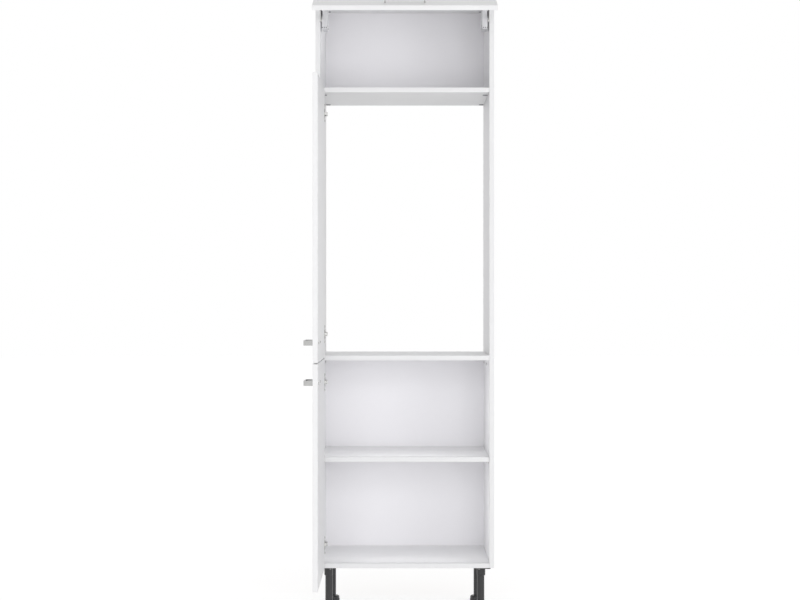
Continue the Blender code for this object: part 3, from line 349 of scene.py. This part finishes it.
# Doors and flap: 16 mm chipboard, white melamine on both faces and a 1 mm band on all four edges.
# The flap hangs open on its lifts, so its seams are laid out in its own turned axes.
flap_opening = math.radians(74.5)
flap_turn = Matrix.Rotation(-flap_opening, 3, "X")
for leaf, turn, width_axis in (("lower_door", upright, 1), ("upper_door", upright, 1),
                               ("flap", flap_turn, 0)):
    low, high = box_along(leaf, turn)
    seams = [(width_axis, low[width_axis] + edge_band), (width_axis, high[width_axis] - edge_band),
             (2, low.z + edge_band), (2, high.z - edge_band)]
    frame["nodes"][leaf].data.materials[0] = melamine_finish(
        "white melamine foil on " + leaf.replace("_", " "), seams, turn)


# Cup hinges: pressed steel, nickel plated. Each cup is screwed into its bore in the leaf, and
# each plate to the board with two screws. The arm has a side screw and a depth screw to adjust it.
cup_screw_inset = 0.028
cup_screw_spread = 0.026
cup_flange_top = 0.0013
plate_screw_behind = 0.037
plate_screw_spread = 0.016
plate_wing_top = 0.0183
arm_front = Vector((0.04175, 0.006, 0))
arm_rear = Vector((0.0275, 0.062, 0))
side_screw_share = 0.40
depth_screw_share = 0.80
leaf_edge_from_swing = 0.013
leaf_face_from_swing = 0.005
carcass_low, carcass_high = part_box("left_side_panel")
side_plane = Matrix.Translation(carcass_low)
top_plane = (Matrix.Translation((carcass_low.x, carcass_low.y, carcass_high.z))
             @ Matrix(((0, 0, 1, 0), (0, 1, 0, 0), (-1, 0, 0, 0), (0, 0, 0, 1))))
swing_places = {joint["child"]: Vector(joint["pos_m"]) for joint in frame["joints"] if "pos_m" in joint}
leaf_planes = {}
for leaf, plane, opening in (("lower_door", side_plane, math.radians(90)),
                             ("upper_door", side_plane, math.radians(90)),
                             ("flap", top_plane, flap_opening)):
    swing = plane.inverted() @ swing_places[leaf]
    leaf_planes[leaf] = (plane @ Matrix.Translation((swing.x, swing.y, 0)) @ Matrix.Rotation(-opening, 4, "Z")
                         @ Matrix.Translation((-leaf_edge_from_swing, leaf_face_from_swing, 0)))
hinge_screw = cross_screw("hinge_screw", radius=0.0037, height=0.0011, finish=nickel_steel)
adjust_screw = cross_screw("adjust_screw", radius=0.0029, height=0.0009, finish=nickel_steel)
hinge_ends = {"lower_door": ("low", "high"), "upper_door": ("low", "high"), "flap": ("left", "right")}
for leaf, ends in hinge_ends.items():
    plane = top_plane if leaf == "flap" else side_plane
    for end in ends:
        hinge = leaf + "_" + end
        low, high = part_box(hinge + "_hinge_plate")
        along = (plane.inverted() @ ((low + high) / 2)).z
        for number, side in (("1", -1), ("2", 1)):
            spot = leaf_planes[leaf] @ Matrix.Translation((cup_screw_inset, cup_flange_top,
                                                           along + side * cup_screw_spread))
            fit_copy(hinge_screw, hinge + "_cup_screw_" + number, spot @ stand_on(Vector((0, 1, 0))),
                     leaf)
            spot = plane @ Matrix.Translation((plate_wing_top, plate_screw_behind,
                                               along + side * plate_screw_spread))
            fit_copy(hinge_screw, hinge + "_plate_screw_" + number, spot @ stand_on(Vector((1, 0, 0))),
                     "carcass")
        web = arm_rear - arm_front
        outward = stand_on(Vector((web.y, -web.x, 0)))
        for use, share in (("side", side_screw_share), ("depth", depth_screw_share)):
            spot = arm_front + web * share
            fit_copy(adjust_screw, hinge + "_" + use + "_screw",
                     plane @ Matrix.Translation((spot.x, spot.y, along)) @ outward, "carcass")
        for piece in ("cup", "arm", "link", "plate"):
            frame["nodes"][hinge + "_hinge_" + piece].data.materials[0] = nickel_steel
bpy.data.objects.remove(hinge_screw)
bpy.data.objects.remove(adjust_screw)


# Handles: flat bows of zinc, nickel plated, then brushed to a satin along the bow.
# A machine screw through the leaf holds each foot, and its head shows on the inner face.
handle_hole_spread = 0.064
# The brush leaves hairlines along the bow. They are drawn 1.2 mm apart, or they would be too fine to show.
brush_lines = 0.0012
brush_draw = 0.03
satin_pale = "#CDCDCC"
satin_dark = "#B1B1B0"
# Satin nickel is pale grey, and its lines spread what it mirrors across the bow.
door_satin = metal_finish("satin brushed nickel, door bows", satin_pale, satin_dark, smoothest=0.22,
                          roughest=0.34, grain=brush_lines, stretch=(1.0, brush_draw, 1.0))
flap_satin = metal_finish("satin brushed nickel, flap bow", satin_pale, satin_dark, smoothest=0.22,
                          roughest=0.34, grain=brush_lines, stretch=(brush_draw, 1.0, 1.0))
handle_screw = cross_screw("handle_screw", radius=0.0042, height=0.0021, finish=nickel_steel)
for leaf in hinge_ends:
    frame["nodes"][leaf + "_handle"].data.materials[0] = flap_satin if leaf == "flap" else door_satin
    back = leaf_planes[leaf].inverted()
    points = [back @ vertex.co for vertex in frame["nodes"][leaf + "_handle"].data.vertices]
    inset = (min(point.x for point in points) + max(point.x for point in points)) / 2
    along = (min(point.z for point in points) + max(point.z for point in points)) / 2
    for number, side in (("1", -1), ("2", 1)):
        spread = side * handle_hole_spread
        spot = (inset, 0, along + spread) if leaf == "flap" else (inset + spread, 0, along)
        spot = leaf_planes[leaf] @ Matrix.Translation(spot) @ stand_on(Vector((0, 1, 0)))
        fit_copy(handle_screw, leaf + "_handle_screw_" + number, spot, leaf)
bpy.data.objects.remove(handle_screw)


# Flap lifts: a sprung steel arm and link at each side, in a case moulded in light grey plastic.
# The case is screwed to the side panel. Its face has a snapped-on lid and a dial that sets the
# spring, and three small rivets close its front at the bottom.
lid_margin = 0.007
lid_corner = 0.007
lid_stand = 0.0008
lid_rim = 0.0006
lid_slope = 0.0016
lid_sink = lid_stand * 0.5
dial_radius = 0.009
dial_stand = 0.0014
dial_chamfer = 0.0012
dial_rise = 0.0004
hexagon_radius = dial_radius * 0.42
dial_behind_share = 0.12
dial_below_share = 0.18
case_screw_margin = 0.009
rivet_radius = 0.0017
rivet_height = rivet_radius * 0.4
rivet_inset = rivet_radius * 0.3
rivet_step = rivet_radius * 0.2
rivet_spacing = 0.0065
rivet_from_face = 0.6 * rivet_spacing
rivet_over_bottom = 0.0045


def plastic_finish(name, pale, dark, smoothest, roughest, grain):
    """Moulded plastic, evenly coloured, with the fine spark-eroded texture of its mould."""
    finish, shader = new_finish(name)
    place = add_node(finish, "ShaderNodeTexCoord", {}, {})["Object"]
    texture = add_node(finish, "ShaderNodeTexNoise", {},
                       {"Vector": place, "Scale": 1 / grain, "Detail": 2.0})["Fac"]
    colour = add_node(finish, "ShaderNodeMix", {"data_type": "RGBA"},
                      {0: texture, 6: linear(pale), 7: linear(dark)})[2]
    rough = add_node(finish, "ShaderNodeMapRange", {},
                     {"Value": texture, "To Min": smoothest, "To Max": roughest})[0]
    give_surface(finish, shader, colour, rough, texture, depth=grain / 5, strength=0.12)
    return finish


# Light grey ABS looks soft and even beside the boards, without their sheen. The texture of its
# mould is drawn 1.2 mm wide, coarser than it is, or it would be too fine to show in a close view.
grey_plastic = plastic_finish("moulded light grey ABS", "#E6E6E9", "#DEDEE1", smoothest=0.4, roughest=0.52,
                              grain=0.0012)
# Blackened steel is dark and dull, so the rivets show as three small dots. Its grain is drawn 1 mm
# wide, coarser than it is, for the same reason.
dark_steel = metal_finish("blackened steel", "#6E6F71", "#565759", smoothest=0.3, roughest=0.42, grain=0.001)
case_screw = cross_screw("case_screw", radius=0.0036, height=0.0012, finish=nickel_steel)
rivet = start_shape(bpy.ops.mesh.primitive_cylinder_add, "rivet", vertices=16, radius=rivet_radius,
                    depth=rivet_height, location=(0, 0, rivet_height / 2))
pick_faces(rivet, lambda face: face.normal.z > 0.9)
bpy.ops.mesh.inset(thickness=rivet_inset, depth=rivet_step)
bpy.ops.mesh.inset(thickness=rivet_inset, depth=-rivet_step)
settle(rivet, dark_steel)
for side, inward in (("left", 1), ("right", -1)):
    low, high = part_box(side + "_lift_case")
    frame["nodes"][side + "_lift_case"].data.materials[0] = grey_plastic
    for piece in ("arm", "link", "bracket"):
        frame["nodes"][side + "_lift_" + piece].data.materials[0] = nickel_steel
    face_x = high.x if side == "left" else low.x
    centre = (low + high) / 2
    size = high - low
    outward = stand_on(Vector((inward, 0, 0)))
    lid = start_shape(bpy.ops.mesh.primitive_cube_add, side + "_lift_lid", size=1,
                      location=(0, 0, lid_stand / 2),
                      scale=(size.z - 2 * lid_margin, size.y - 2 * lid_margin, lid_stand))
    bpy.ops.object.transform_apply(location=True, rotation=True, scale=True)
    pick_faces(lid, lambda face: False)
    bpy.ops.object.mode_set(mode="OBJECT")
    for edge in lid.data.edges:
        first, second = (lid.data.vertices[number].co for number in edge.vertices)
        edge.select = abs(first.z - second.z) > lid_stand / 2
    bpy.ops.object.mode_set(mode="EDIT")
    bpy.ops.mesh.select_mode(type="EDGE")
    bpy.ops.mesh.bevel(offset=lid_corner, segments=6)
    bpy.ops.object.mode_set(mode="OBJECT")
    pick_faces(lid, lambda face: face.normal.z > 0.9)
    bpy.ops.mesh.inset(thickness=lid_rim)
    bpy.ops.mesh.inset(thickness=lid_slope, depth=-lid_sink)
    settle(lid, grey_plastic)
    on_end = Matrix.Rotation(math.radians(90), 4, "Z")
    lid.data.transform(Matrix.Translation((face_x, centre.y, centre.z)) @ outward @ on_end)
    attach(lid, "carcass")
    hexagon = start_shape(bpy.ops.mesh.primitive_cylinder_add, "hexagon", vertices=6, radius=hexagon_radius,
                          depth=dial_stand * 3, location=(0, 0, dial_stand))
    dial = start_shape(bpy.ops.mesh.primitive_cylinder_add, side + "_lift_dial", vertices=32,
                       radius=dial_radius, depth=dial_stand, location=(0, 0, dial_stand / 2))
    pick_faces(dial, lambda face: face.normal.z > 0.9)
    bpy.ops.mesh.inset(thickness=dial_chamfer, depth=dial_rise)
    settle(dial, grey_plastic)
    cut_away(dial, hexagon)
    settle(dial, grey_plastic)
    spot = (face_x, centre.y + size.y * dial_behind_share, centre.z - size.z * dial_below_share)
    dial.data.transform(Matrix.Translation(spot) @ outward)
    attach(dial, "carcass")
    for corner, y, z in (("front_low", low.y + case_screw_margin, low.z + case_screw_margin),
                         ("rear_high", high.y - case_screw_margin, high.z - case_screw_margin),
                         ("rear_low", high.y - case_screw_margin, low.z + case_screw_margin)):
        fit_copy(case_screw, side + "_lift_" + corner + "_screw",
                 Matrix.Translation((face_x, y, z)) @ outward, "carcass")
    for number in range(3):
        spot = (face_x - inward * (rivet_from_face + number * rivet_spacing), low.y,
                low.z + rivet_over_bottom)
        fit_copy(rivet, side + "_lift_rivet_" + str(number + 1),
                 Matrix.Translation(spot) @ stand_on(Vector((0, -1, 0))), "carcass")
bpy.data.objects.remove(case_screw)
bpy.data.objects.remove(rivet)


# Plinth feet: black polypropylene, injection moulded. Four screws hold each plate under the bottom
# board. The base turns on a coarse thread inside the tube, and its rim is fluted for the fingers.
foot_plate_thick = 0.006
foot_screw_inset = 0.007
foot_screw_far_inset = 0.0385
flute_count = 24
flute_gap = 0.0004
flute_stand = 0.0006
rim_stand = 0.0003
rim_wall = 0.003
rim_low = 0.005
rim_high = 0.014
# Polypropylene keeps a soft gloss from its mould, so the tubes are a little paler towards the light.
# The texture of its mould is drawn 1.4 mm wide, coarser than it is, for the same reason as above.
black_plastic = plastic_finish("moulded black polypropylene", "#353536", "#2B2B2C", smoothest=0.27,
                               roughest=0.33, grain=0.0014)
foot_screw = cross_screw("foot_screw", radius=0.0038, height=0.0013, finish=nickel_steel)
for row in ("front", "rear"):
    for side, inward in (("left", 1), ("right", -1)):
        foot = row + "_" + side + "_foot"
        frame["nodes"][foot + "_body"].data.materials[0] = black_plastic
        frame["nodes"][foot + "_base"].data.materials[0] = black_plastic
        low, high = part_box(foot + "_base")
        middle = (low + high) / 2
        rim = start_shape(bpy.ops.mesh.primitive_cylinder_add, foot + "_grip", vertices=2 * flute_count,
                          radius=(high.x - low.x) / 2 + rim_stand, depth=rim_high - rim_low,
                          location=(middle.x, middle.y, (rim_low + rim_high) / 2))
        bpy.ops.object.transform_apply(location=True, rotation=True, scale=True)
        pick_faces(rim, lambda face: abs(face.normal.z) < 0.1 and face.index % 2 == 0)
        bpy.ops.mesh.inset(thickness=flute_gap, depth=flute_stand, use_individual=True)
        bpy.ops.object.mode_set(mode="OBJECT")
        # The round ends are opened into a ring, which leaves the tube room when the base is screwed in.
        pick_faces(rim, lambda face: abs(face.normal.z) > 0.9 and len(face.vertices) == 2 * flute_count)
        bpy.ops.mesh.inset(thickness=rim_wall)
        bpy.ops.mesh.bridge_edge_loops()
        bpy.ops.mesh.select_all(action="SELECT")
        bpy.ops.mesh.normals_make_consistent(inside=False)
        settle(rim, black_plastic)
        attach(rim, foot + "_base")
        low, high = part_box(foot + "_body")
        outer = low.x if side == "left" else high.x
        for number, inset, y in (("1", foot_screw_inset, low.y + foot_screw_inset),
                                 ("2", foot_screw_far_inset, low.y + foot_screw_inset),
                                 ("3", foot_screw_inset, high.y - foot_screw_inset),
                                 ("4", foot_screw_far_inset, high.y - foot_screw_inset)):
            spot = Matrix.Translation((outer + inward * inset, y, high.z - foot_plate_thick)) @ facing_down
            fit_copy(foot_screw, foot + "_screw_" + number, spot, "carcass")
bpy.data.objects.remove(foot_screw)


# Floor: a plain pale studio floor. The camera and whatever mirrors the floor see it as white
# paper, and it keeps the unit's shadow.
paper_lift = 0.62


def seen_share(finish):
    """1 for a ray from the camera, off gloss or through glass, and 0 for the light that falls on things."""
    rays = add_node(finish, "ShaderNodeLightPath", {}, {})
    seen = add_node(finish, "ShaderNodeMath", {"operation": "MAXIMUM"},
                    {0: rays["Is Camera Ray"], 1: rays["Is Glossy Ray"]})[0]
    return add_node(finish, "ShaderNodeMath", {"operation": "MAXIMUM"},
                    {0: seen, 1: rays["Is Transmission Ray"]})[0]


floor = start_shape(bpy.ops.mesh.primitive_plane_add, "studio_floor", size=60, location=(0, 0, 0))
paper, shader = new_finish("pale studio floor")
shader.inputs["Roughness"].default_value = 0.9
shader.inputs["Emission Color"].default_value = linear("#FFFFFF")
seen = seen_share(paper)
lift = add_node(paper, "ShaderNodeMath", {"operation": "MULTIPLY"}, {0: seen, 1: paper_lift})[0]
colour = add_node(paper, "ShaderNodeMix", {"data_type": "RGBA"},
                  {0: seen, 6: linear("#F4F4F4"), 7: linear("#C4C4C4")})[2]
paper.node_tree.links.new(lift, shader.inputs["Emission Strength"])
paper.node_tree.links.new(colour, shader.inputs["Base Color"])
floor.data.materials.append(paper)


# Light: a white room all round, a large soft lamp in front and a smaller one on the right.
# A weak sheet of light behind each closed compartment's opening lifts its inside, as a photographer
# does. The top one is turned to the upper left, where the photographed compartment is brightest.
room_level = 0.63
world = bpy.data.worlds.new("white studio")
bpy.context.scene.world = world
world.use_nodes = True
level = add_node(world, "ShaderNodeMapRange", {},
                 {"Value": seen_share(world), "To Min": room_level, "To Max": 1.0})[0]
world.node_tree.nodes["Background"].inputs["Color"].default_value = linear("#FFFFFF")
world.node_tree.links.new(level, world.node_tree.nodes["Background"].inputs["Strength"])


def add_lamp(name, place, target, width, height, energy, mirrored=False):
    """A soft rectangular lamp that points at a target. Gloss mirrors it only where that is asked for."""
    bpy.ops.object.light_add(type="AREA", location=place)
    lamp = bpy.context.active_object
    lamp.name = name
    lamp.data.shape = "RECTANGLE"
    lamp.data.size = width
    lamp.data.size_y = height
    lamp.data.energy = energy
    lamp.visible_camera = False
    lamp.visible_glossy = mirrored
    lamp.rotation_euler = (Vector(target) - Vector(place)).to_track_quat("-Z", "Y").to_euler()


unit_middle = (0, 0, 1.0)
add_lamp("front_softbox", place=(0.2, -6.0, 1.3), target=unit_middle, width=2.4, height=2.4, energy=90)
add_lamp("right_softbox", place=(3.1, -4.8, 1.0), target=unit_middle, width=1.3, height=2.6, energy=34,
         mirrored=True)
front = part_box("niche_floor_panel")[0].y
straight_in = Vector((0, 1, 0))
upper_left = Vector((-0.65, 1, 0.45))
for name, below, above, setback, margin, aim, energy in (
        ("low_fill", "bottom_panel", "adjustable_shelf", 0.006, 0.05, straight_in, 0.42),
        ("middle_fill", "adjustable_shelf", "niche_floor_panel", 0.006, 0.05, straight_in, 0.42),
        ("high_fill", "niche_top_panel", "top_panel", 0.12, 0.1, upper_left, 0.27)):
    low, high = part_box(below)[1].z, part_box(above)[0].z
    middle = Vector(((inner_left + inner_right) / 2, front + setback, (low + high) / 2))
    add_lamp(name, place=middle, target=middle + aim, width=inner_right - inner_left - 2 * margin,
             height=high - low - 2 * margin, energy=energy)


# Camera: level, with a long lens, 7.3 m in front of the carcass and just over a metre up.
# The shifts move the picture's centre to the photographed one, which was cropped off-centre.
bpy.ops.object.camera_add(location=(0.005, -7.2625, 1.0927), rotation=(math.radians(90), 0, 0))
camera = bpy.context.active_object
camera.data.lens = 97.6
camera.data.shift_x = -0.005
camera.data.shift_y = -0.0075
camera.data.clip_end = 100
bpy.context.scene.camera = camera
bpy.context.scene.view_settings.view_transform = "Standard"
